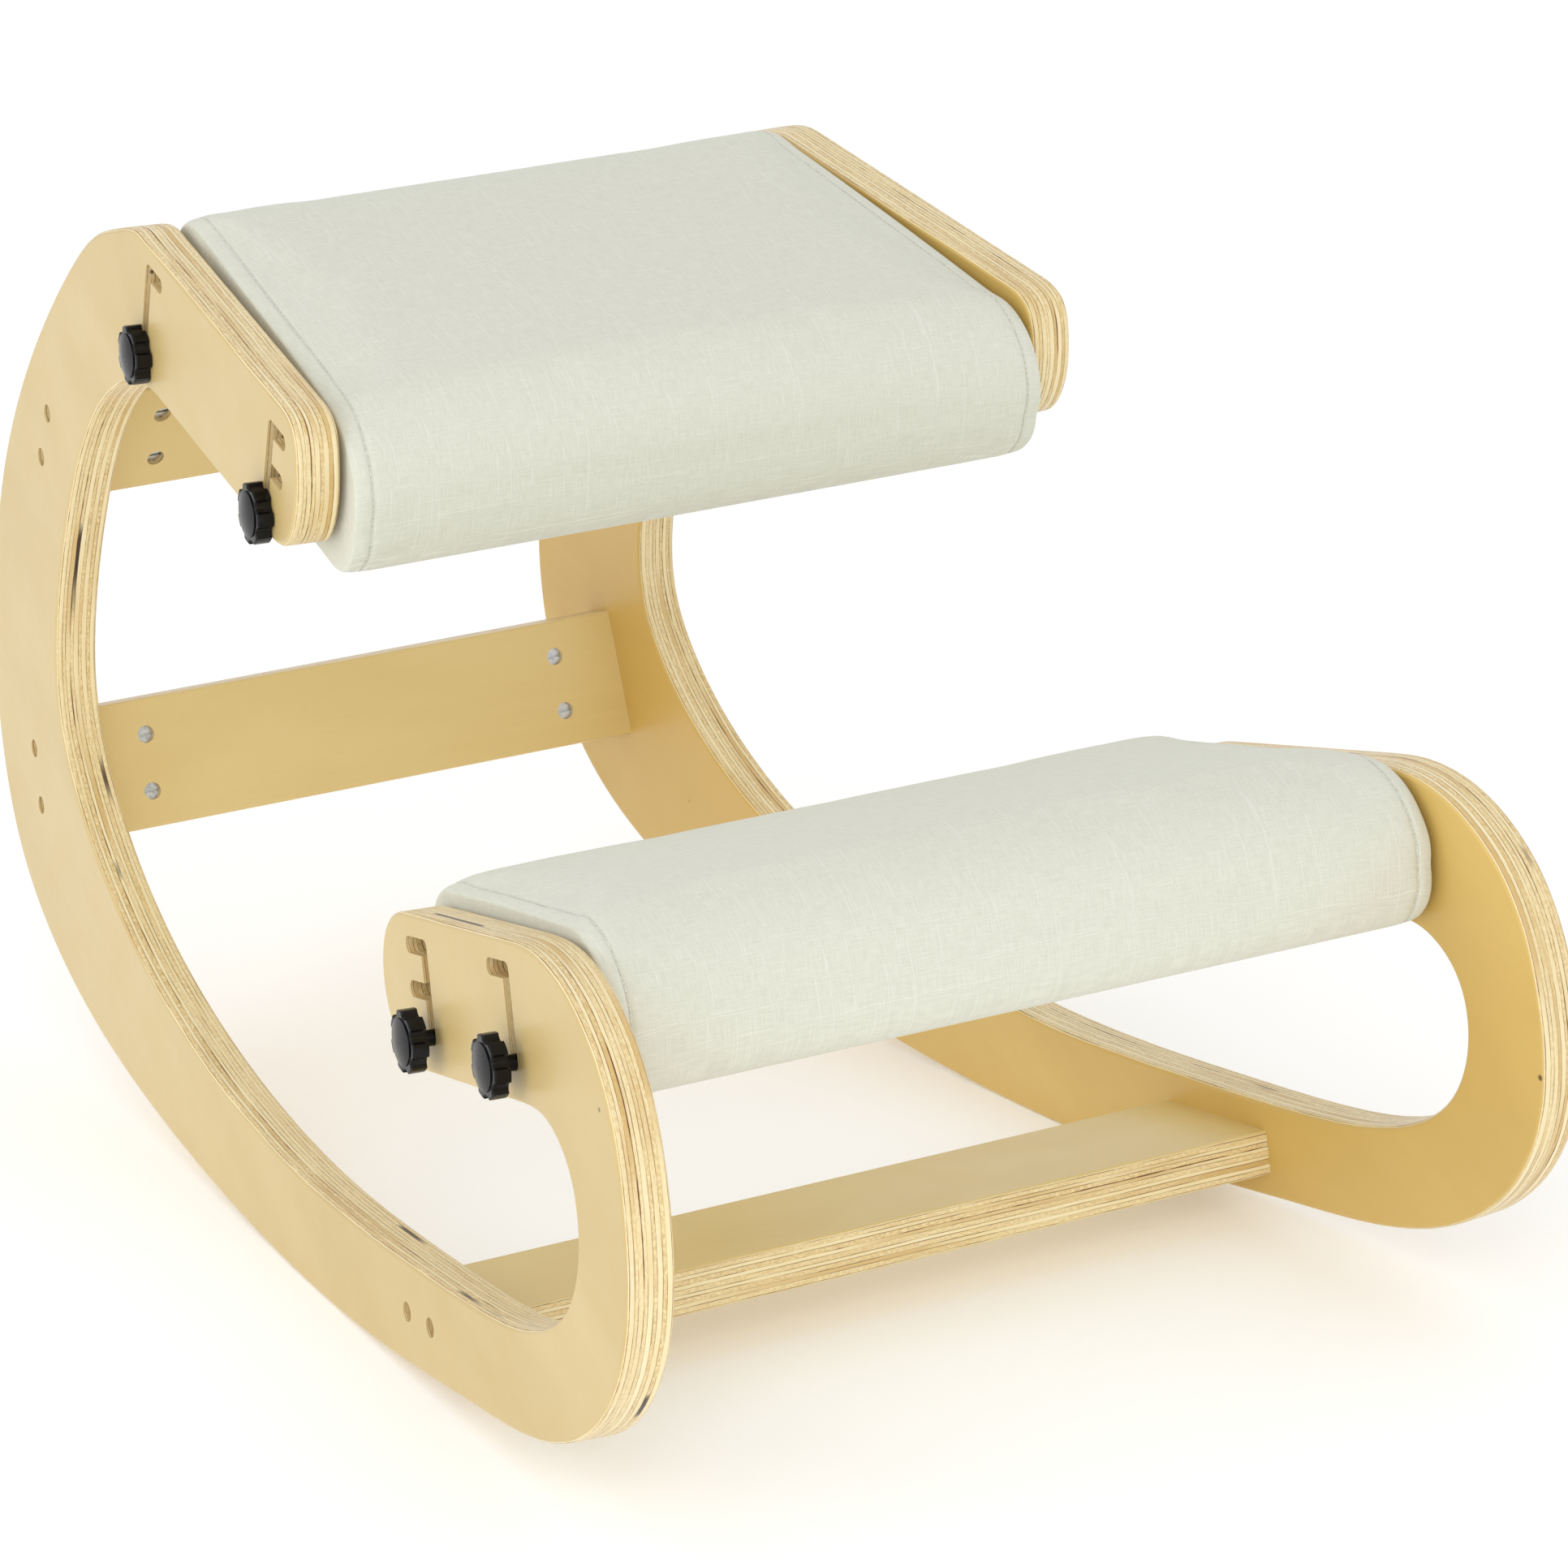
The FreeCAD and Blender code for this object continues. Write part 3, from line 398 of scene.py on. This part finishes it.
def zinc(name, base):
    look = Look(name, roughness=0.3, metallic=1.0)
    crystals = look.noise(look.place, 420.0, 3.0, 0.6)
    turning = look.noise(look.vector("MULTIPLY", look.place, (1.0, 4.0, 4.0)), 700.0, 2.0)
    rough = look.step(crystals, 0.3, 0.7, 0.22, 0.42)
    colour = look.mix(look.step(crystals, 0.3, 0.7), shade(*base), shade(222, 223, 222))
    return look.finish(colour, rough, look.bump(turning, 0.00005, 0.4))


def set_material(thing, material):
    thing.data.materials.clear()
    thing.data.materials.append(material)


def dress_wood():
    for side, sign in (("left", -1), ("right", 1)):
        knob = joints["seat_front_%s_knob_turn" % side]
        inward = -Vector(knob["axis"])
        along_side = UP_THE_SIDES.cross(inward)
        seed = SIDE_SEED + sign
        # each panel's inner face shows the veneer darkened with painted shade
        panel = plywood(side + "_side_ply", knob["pos_m"], inward, along_side, PANEL_THICKNESS, seed,
                        (OUTER_VENEER, INNER_VENEER_PAINTED_SHADE))
        set_material(frame["nodes"][side + "_side_panel"], panel)
    for number, (bar, angle) in enumerate(BAR_ANGLES.items()):
        node = bar + "_crossbar"
        low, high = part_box(node)
        turn = math.radians(angle) + LEAN
        normal = Vector((0, -math.sin(turn), math.cos(turn)))
        face = (low + high) / 2 - normal * BAR_THICKNESS / 2
        seed = BAR_SEED + number * BAR_SEED_STEP
        ply = plywood(bar + "_bar_ply", face, normal, (1, 0, 0), BAR_THICKNESS, seed)
        set_material(frame["nodes"][node], ply)
    for pad in PAD_ENDS:
        low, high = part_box(pad + "_board")
        middle = (low + high) / 2
        up = pads[pad]["up"]
        board = plywood(pad + "_core_ply", middle, up, (1, 0, 0), BOARD_THICKNESS, BOARD_SEED)
        set_material(frame["nodes"][pad + "_board"], board)


def dress_hardware():
    steel = zinc("zinc_plated_steel", (190, 192, 192))
    brass = zinc("insert_steel", (176, 160, 120))
    black = plastic("glossy_black_plastic")
    for name, node in frame["nodes"].items():
        if name.endswith("_knob"):
            set_material(node, black)
        elif name.endswith("_inserts"):
            set_material(node, brass)
        elif name.endswith(("_bolts", "_nuts", "_stud")):
            set_material(node, steel)


# Cushions
def pad_facts(pad):
    """a pad's own frame, from the joints of its knobs"""
    def centre(knob):
        left = Vector(joints["%s_%s_left_knob_turn" % (pad, knob)]["pos_m"])
        right = Vector(joints["%s_%s_right_knob_turn" % (pad, knob)]["pos_m"])
        return (left + right) / 2, (right.x - left.x) / 2

    origin, half_front = centre("front")
    rear, half_rear = centre("rear")
    back = (rear - origin).normalized()
    nose, tail, rise = PAD_ENDS[pad]
    length = (rear - origin).length
    panel = PANEL_THICKNESS / math.cos(math.atan(SPLAY_SLOPE))
    return {
        "name": pad, "origin": origin, "back": back, "up": Vector((1, 0, 0)).cross(back), "length": length,
        "first": -nose, "last": length + tail, "rise": rise,
        "half_front": half_front - panel - PAD_GAP + COVER_OUT[pad],
        "narrowing": (half_front - half_rear) / length,
    }


def half_width(pad, y):
    """centre plane to the cover's end at a place y along the pad"""
    return pad["half_front"] - pad["narrowing"] * y


ARC_POINTS = 24
RING_POINTS = 176


def arc_points(start, middle, end):
    """points on the arc through three places, without the last one"""
    (ax, ay), (bx, by), (cx, cy) = start, middle, end
    d = 2 * (ax * (by - cy) + bx * (cy - ay) + cx * (ay - by))
    ux = ((ax**2 + ay**2) * (by - cy) + (bx**2 + by**2) * (cy - ay) + (cx**2 + cy**2) * (ay - by)) / d
    uy = ((ax**2 + ay**2) * (cx - bx) + (bx**2 + by**2) * (ax - cx) + (cx**2 + cy**2) * (bx - ax)) / d
    radius = math.hypot(ax - ux, ay - uy)
    first, mid, last = (math.atan2(y - uy, x - ux) for x, y in (start, middle, end))
    turn = (last - first) % (2 * math.pi)
    if (mid - first) % (2 * math.pi) > turn:
        turn -= 2 * math.pi
    angles = [first + turn * k / ARC_POINTS for k in range(ARC_POINTS)]
    return [(ux + radius * math.cos(angle), uy + radius * math.sin(angle)) for angle in angles]


def section(pad, inset, crown):
    """closed outline across the pad as (y, z), evenly spaced, from the lower front edge rearwards"""
    first, last = pad["first"] + inset, pad["last"] - inset
    low = inset / 2 - BELOW_AXIS
    front_top = PAD_RISE + crown - inset
    rear_top = PAD_RISE + pad["rise"] - inset
    # of a radius, from a corner to the middle of its rounding along each edge
    cut = 1 - math.sqrt(0.5)
    lower, upper, under = NOSE_LOWER_RADIUS, REAR_RADIUS, REAR_LOWER_RADIUS
    flat_nose = front_top - NOSE_DROP
    lean = first + NOSE_LEAN
    bow = (first + last) / 2, (front_top + rear_top) / 2 + PAD_TOP_BOW + crown / 6
    bulge = first + NOSE_BULGE, (flat_nose + low + lower) / 2
    # each part's start, and the middle of its arc or None for a straight one
    parts = [
        ((lean + lower, low), None),
        ((last - under, low), (last - under * cut, low + under * cut)),
        ((last, low + under), None),
        ((last, rear_top - upper), (last - upper * cut, rear_top - upper * cut)),
        ((last - upper, rear_top), bow),
        ((first + NOSE_BACK, front_top), (first + NOSE_CUT, front_top - NOSE_CUT_DROP)),
        ((first, flat_nose), bulge),
        ((lean, low + lower), (lean + lower * cut, low + lower * cut)),
    ]
    line = []
    for number, (start, middle) in enumerate(parts):
        end = parts[(number + 1) % len(parts)][0]
        line += arc_points(start, middle, end) if middle else [start]
    line.append(line[0])
    run = np.array(line)
    travel = np.concatenate([[0], np.cumsum(np.hypot(*np.diff(run, axis=0).T))])
    wanted = np.linspace(0, travel[-1], RING_POINTS, endpoint=False)
    return np.stack([np.interp(wanted, travel, run[:, k]) for k in (0, 1)], axis=1)


SEAM_FROM_END = 0.009
# distances of the first rings from a pad's end, closest at the end's rounding and at the seam
END_STEPS = [0.0, 0.0004, 0.0012, 0.0025, 0.0042, 0.0060, 0.0076, 0.0084, 0.0090, 0.0096, 0.0104, 0.012,
             0.0145, 0.018, 0.023, 0.030, 0.038, 0.047]
MIDDLE_RINGS = 17


def pad_rings(pad, shrink):
    """rings of points along the pad in its own frame, as an array of rings, points and x, y, z"""
    middle = half_width(pad, pad["length"] / 2)
    inner = np.linspace(END_STEPS[-1], middle, MIDDLE_RINGS + 2)[1:-1]
    distances = END_STEPS + list(inner)
    rings = []
    for distance in distances:
        share = 1 - distance / middle
        turn = max(0.0, 1 - distance / SHOULDER_WIDTH)
        inset = SHOULDER_DEPTH * (1 - math.sqrt(max(0.0, 1 - turn * turn))) + shrink
        crown = PAD_CROWN * (1 - share ** 3)
        outline = section(pad, inset, crown)
        widths = half_width(pad, outline[:, 0]) - shrink
        rings.append(np.column_stack([-share * widths, outline]))
    centre = section(pad, shrink, PAD_CROWN)
    mirrored = [ring * (-1, 1, 1) for ring in rings[::-1]]
    return np.array(rings + [np.column_stack([np.zeros(RING_POINTS), centre])] + mirrored)


# sizes of the rings that close an end, as shares of its last ring
CAP_STEPS = [0.985, 0.95, 0.88, 0.76, 0.6, 0.42, 0.22]


def pad_mesh(name, rings):
    """closed quad mesh of the rings, each end capped by smaller copies of its last ring"""
    def cap(ring):
        centre = ring.mean(axis=0)
        return [centre + (ring - centre) * step for step in CAP_STEPS], centre

    left, left_centre = cap(rings[0])
    right, right_centre = cap(rings[-1])
    stack = left[::-1] + list(rings) + right
    count = len(rings[0])
    points = np.concatenate(stack + [[left_centre], [right_centre]])
    faces = []
    for row in range(len(stack) - 1):
        for k in range(count):
            here, there = row * count + k, row * count + (k + 1) % count
            faces.append((here, there, there + count, here + count))
    tip, tail = len(points) - 2, len(points) - 1
    top = (len(stack) - 1) * count
    for k in range(count):
        faces.append((tip, (k + 1) % count, k))
        faces.append((tail, top + k, top + (k + 1) % count))
    mesh = bpy.data.meshes.new(name)
    mesh.from_pydata([tuple(point) for point in points], [], faces)
    mesh.update()
    return mesh


def to_rest(pad):
    """matrix from the pad's own frame to the row frame"""
    rotation = Matrix((Vector((1, 0, 0)), pad["back"], pad["up"])).transposed()
    return Matrix.Translation(pad["origin"]) @ rotation.to_4x4()


# the cover starts this far inside its size, and no place moves more than the cap
START_INSET = 0.0018
MOVE_CAP = 0.0032
VOXEL = 0.005
# height above the underside up to which the cover is held
HELD_HEIGHT = 0.006
PRESSURE = 4.0
CLOTH_MASS = 0.3
CLOTH_STIFFNESS = 25
CLOTH_BENDING = 0.6
CLOTH_QUALITY = 5
CLOTH_FRAMES = 20
# simulated points that each place follows, and the distance that evens out their weights
NEAREST = 6
EVEN_OUT = 0.001


def swollen(pad):
    """places before and after the stuffing presses the cover out, simulated in the pad's own frame"""
    mesh = pad_mesh(pad["name"] + "_stuffing", pad_rings(pad, START_INSET))
    thing = bpy.data.objects.new(pad["name"] + "_stuffing", mesh)
    bpy.context.scene.collection.objects.link(thing)
    bpy.context.view_layer.objects.active = thing
    remesh = thing.modifiers.new("even", "REMESH")
    remesh.mode = "VOXEL"
    remesh.voxel_size = VOXEL
    bpy.ops.object.select_all(action="DESELECT")
    thing.select_set(True)
    bpy.ops.object.modifier_apply(modifier="even")
    before = np.array([vertex.co for vertex in thing.data.vertices])
    held = thing.vertex_groups.new(name="held")
    held.add([k for k, place in enumerate(before) if place[2] < -BELOW_AXIS + HELD_HEIGHT], 1.0, "REPLACE")
    cloth = thing.modifiers.new("cover", "CLOTH")
    cloth.settings.quality = CLOTH_QUALITY
    cloth.settings.mass = CLOTH_MASS
    cloth.settings.tension_stiffness = CLOTH_STIFFNESS
    cloth.settings.compression_stiffness = CLOTH_STIFFNESS
    cloth.settings.bending_stiffness = CLOTH_BENDING
    cloth.settings.use_pressure = True
    cloth.settings.uniform_pressure_force = PRESSURE
    cloth.settings.vertex_group_mass = "held"
    cloth.settings.effector_weights.gravity = 0
    cloth.collision_settings.use_collision = False
    cloth.point_cache.frame_start, cloth.point_cache.frame_end = 1, CLOTH_FRAMES
    for number in range(1, CLOTH_FRAMES + 1):
        bpy.context.scene.frame_set(number)
    shown = thing.evaluated_get(bpy.context.evaluated_depsgraph_get())
    after = np.array([vertex.co for vertex in shown.data.vertices])
    bpy.data.objects.remove(thing)
    bpy.context.scene.frame_set(1)
    return before, after


def spread_move(places, before, after):
    """each place's move, as the mean of its nearest simulated points, capped"""
    tree = KDTree(len(before))
    for k, place in enumerate(before):
        tree.insert(place, k)
    tree.balance()
    moves = after - before
    lengths = np.linalg.norm(moves, axis=1, keepdims=True)
    moves = moves * np.minimum(1.0, MOVE_CAP / np.maximum(lengths, 1e-9))
    out = np.zeros_like(places)
    for k, place in enumerate(places):
        near = tree.find_n(place, NEAREST)
        weights = np.array([1 / (distance + EVEN_OUT) for _, _, distance in near])
        out[k] = (moves[[index for _, index, _ in near]] * weights[:, None]).sum(axis=0) / weights.sum()
    return out


SEAM_DEPTH = 0.0011
SEAM_WIDTH = 0.0011
SEAM_LIFT = 0.00025
PUCKER = 0.00035
PUCKER_WIDTH = 0.006
PUCKER_WAVES = 5
PUCKER_SEEDS = {"seat": 7, "knee": 19}
# the cover stays this far inside its widest place
SIDE_LIMIT = 0.0002


def stuffed_rings(pad):
    """the cover's rings after the stuffing has pressed them out, kept off the sides"""
    rings = pad_rings(pad, START_INSET)
    flat = rings.reshape(-1, 3)
    before, after = swollen(pad)
    flat = flat + spread_move(flat, before, after)
    rings = flat.reshape(rings.shape)
    limit = half_width(pad, rings[:, :, 1]) - SIDE_LIMIT
    rings[:, :, 0] = np.clip(rings[:, :, 0], -limit, limit)
    return rings


def outward_of(rings):
    """unit vectors from each ring's middle to its points, across the pad"""
    out = rings - rings.mean(axis=1, keepdims=True)
    out[:, :, 0] = 0
    return out / np.maximum(np.linalg.norm(out, axis=2, keepdims=True), 1e-9)


def sew(rings, out, seed):
    """sink the rings near each seam into its groove, with uneven puckers round it"""
    draw = random.Random(seed)
    waves = [(draw.uniform(90, 160), draw.uniform(0, 6.28), draw.uniform(0.4, 1.0))
             for _ in range(PUCKER_WAVES)]
    travel = np.linspace(0, 1, rings.shape[1], endpoint=False) * 2 * math.pi
    wave = sum(size * np.sin(round(rate / 4) * travel + phase) for rate, phase, size in waves) / PUCKER_WAVES
    for step, distance in enumerate(END_STEPS):
        groove = SEAM_DEPTH * math.exp(-((distance - SEAM_FROM_END) / SEAM_WIDTH) ** 2)
        near = math.exp(-((distance - SEAM_FROM_END) / PUCKER_WIDTH) ** 2)
        move = -groove - PUCKER * near * (0.5 + 0.5 * wave)
        for number in (step, len(rings) - 1 - step):
            rings[number] += out[number] * move[:, None]


def cushion(pad_name):
    """dress one pad: its linen cover, which replaces the plain solid, and a seam line near each end"""
    pad = pads[pad_name]
    rings = stuffed_rings(pad)
    out = outward_of(rings)
    sew(rings, out, PUCKER_SEEDS[pad_name])
    mesh = pad_mesh(pad_name + "_linen_cushion", rings)
    mesh.transform(to_rest(pad))
    mesh.polygons.foreach_set("use_smooth", [True] * len(mesh.polygons))
    thing = bpy.data.objects.new(pad_name + "_linen_cushion", mesh)
    bpy.context.scene.collection.objects.link(thing)
    smooth = thing.modifiers.new("smooth", "SUBSURF")
    smooth.levels = smooth.render_levels = 1
    set_material(thing, linen(pad_name + "_linen", pad))
    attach(thing, "seat" if pad_name == "seat" else "knee_pad")
    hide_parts(pad_name + "_cushion")

    first = END_STEPS.index(SEAM_FROM_END)
    for end, number in (("left", first), ("right", len(rings) - 1 - first)):
        lifted = rings[number] + out[number] * SEAM_LIFT
        seam = seam_line("%s_%s_seam" % (pad_name, end), lifted, to_rest(pad))
        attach(seam, "seat" if pad_name == "seat" else "knee_pad")


SEAM_RADIUS = 0.00042
SEAM_SIDES = 8


def seam_line(name, ring, place):
    """thin raised fold of the sewn edge, as a closed tube"""
    count = len(ring)
    points = []
    for k in range(count):
        ahead = ring[(k + 1) % count] - ring[k - 1]
        along = Vector(ahead).normalized()
        across = Vector((1, 0, 0))
        outward = across.cross(along).normalized()
        for step in range(SEAM_SIDES):
            angle = 2 * math.pi * step / SEAM_SIDES
            sideways, out = SEAM_RADIUS * math.cos(angle), SEAM_RADIUS * math.sin(angle)
            points.append(Vector(ring[k]) + across * sideways + outward * out)
    faces = []
    for k in range(count):
        for step in range(SEAM_SIDES):
            here, there = k * SEAM_SIDES, (k + 1) % count * SEAM_SIDES
            turn = (step + 1) % SEAM_SIDES
            faces.append((here + step, here + turn, there + turn, there + step))
    mesh = bpy.data.meshes.new(name)
    mesh.from_pydata(points, [], faces)
    mesh.transform(place)
    mesh.polygons.foreach_set("use_smooth", [True] * len(mesh.polygons))
    thing = bpy.data.objects.new(name, mesh)
    bpy.context.scene.collection.objects.link(thing)
    set_material(thing, seam_material)
    return thing


pads = {pad: pad_facts(pad) for pad in PAD_ENDS}
seam_material = seam_cloth("seam_thread")
dress_wood()
dress_hardware()
for pad_name in PAD_ENDS:
    cushion(pad_name)


# Studio
FLOOR_SIZE = 14.0
CAMERA_AT = Vector((-1.4589, -3.0008, 1.2297))
# the chair leans this much less in the photo than at rest, so the camera turns with it
CHAIR_TURN = math.radians(6.22)
PHOTO_AZIMUTH = math.radians(-28.135)
PHOTO_ELEVATION = math.radians(22.353)
# camera lens and sensor in millimetres
LENS = 150.0
SENSOR = 36.0
FLOOR_GLOW = 0.18
FLOOR_COLOUR = (0.95, 0.95, 0.95, 1.0)
LIGHT_TARGET = (0, 0, 0.25)
# each light's name, place, width in metres and power in watts
LIGHTS = [("key", (-1.4, -3.3, 1.8), 2.2, 33.0), ("side", (-3.2, 0.2, 1.2), 1.8, 16.0)]
WORLD_STRENGTH = 0.85


def make_floor():
    mesh = bpy.data.meshes.new("floor")
    half = FLOOR_SIZE / 2
    corners = [(-half, -half, 0), (half, -half, 0), (half, half, 0), (-half, half, 0)]
    mesh.from_pydata(corners, [], [(0, 1, 2, 3)])
    floor = bpy.data.objects.new("floor", mesh)
    bpy.context.scene.collection.objects.link(floor)
    look = Look("pale_floor", roughness=0.9)
    look.shader.inputs["Emission Color"].default_value = (1.0, 1.0, 1.0, 1.0)
    look.shader.inputs["Emission Strength"].default_value = FLOOR_GLOW
    set_material(floor, look.finish(FLOOR_COLOUR))


def area_light(name, place, width, power):
    light = bpy.data.lights.new(name, "AREA")
    light.shape = "DISK"
    light.size = width
    light.energy = power
    thing = bpy.data.objects.new(name, light)
    thing.location = place
    thing.rotation_euler = (Vector(LIGHT_TARGET) - Vector(place)).to_track_quat("-Z", "Y").to_euler()
    bpy.context.scene.collection.objects.link(thing)


def make_studio():
    make_floor()
    world = bpy.data.worlds.new("soft_studio")
    world.use_nodes = True
    world.node_tree.nodes["Background"].inputs["Color"].default_value = (1.0, 1.0, 1.0, 1.0)
    world.node_tree.nodes["Background"].inputs["Strength"].default_value = WORLD_STRENGTH
    bpy.context.scene.world = world
    for light in LIGHTS:
        area_light(*light)
    bpy.context.scene.view_settings.view_transform = "Standard"


def make_camera():
    """camera that sees the chair from the photo's side and height"""
    side = Vector((math.cos(PHOTO_AZIMUTH), math.sin(PHOTO_AZIMUTH), 0))
    back = Vector((math.sin(PHOTO_AZIMUTH) * math.cos(PHOTO_ELEVATION),
                   -math.cos(PHOTO_AZIMUTH) * math.cos(PHOTO_ELEVATION), math.sin(PHOTO_ELEVATION)))
    photo = Matrix((side, back.cross(side), back)).transposed()
    camera = bpy.data.cameras.new("camera")
    camera.lens = LENS
    camera.sensor_width = SENSOR
    thing = bpy.data.objects.new("camera", camera)
    turned = Matrix.Rotation(CHAIR_TURN, 3, "X") @ photo
    thing.matrix_world = Matrix.Translation(CAMERA_AT) @ turned.to_4x4()
    bpy.context.scene.collection.objects.link(thing)
    bpy.context.scene.camera = thing


make_studio()
make_camera()
